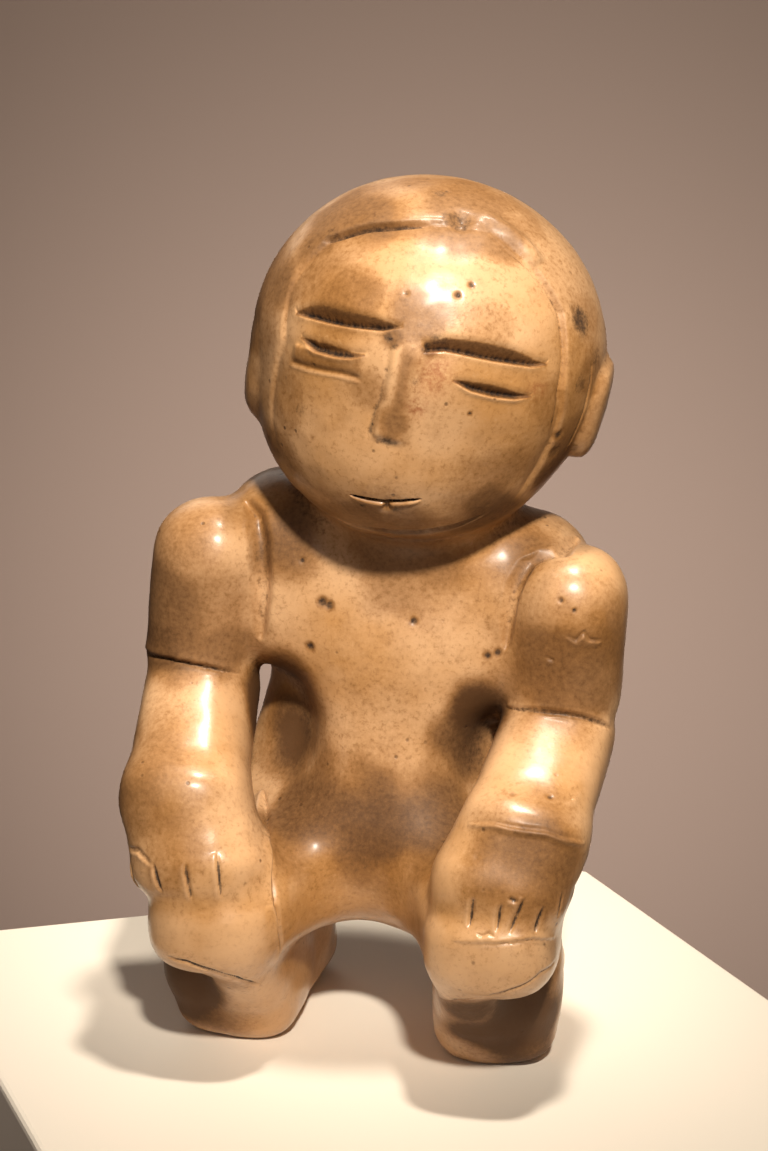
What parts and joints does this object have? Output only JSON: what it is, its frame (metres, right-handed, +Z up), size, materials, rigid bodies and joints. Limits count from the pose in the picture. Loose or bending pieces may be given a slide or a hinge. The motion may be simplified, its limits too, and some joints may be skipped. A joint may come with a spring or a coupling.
{
  "type": "ceramic figurine",
  "caption": "Kneeling human figurine of burnished clay: large tilted head with slit eyes, arms bent to the knees, legs as two thick blocks.",
  "frame": {"origin": "on the ground plane under the middle of the figure's bounding box", "axes": "+Z up from the soles to the crown, -Y the way the chest and knees face, +X to the figure's own left"},
  "size_m": [0.0886, 0.072, 0.16],
  "materials": {
    "clay": "burnished, waxy sheen, tan to brown"
  },
  "bodies": {
    "root": {"figurine": "clay"}
  },
  "joints": []
}
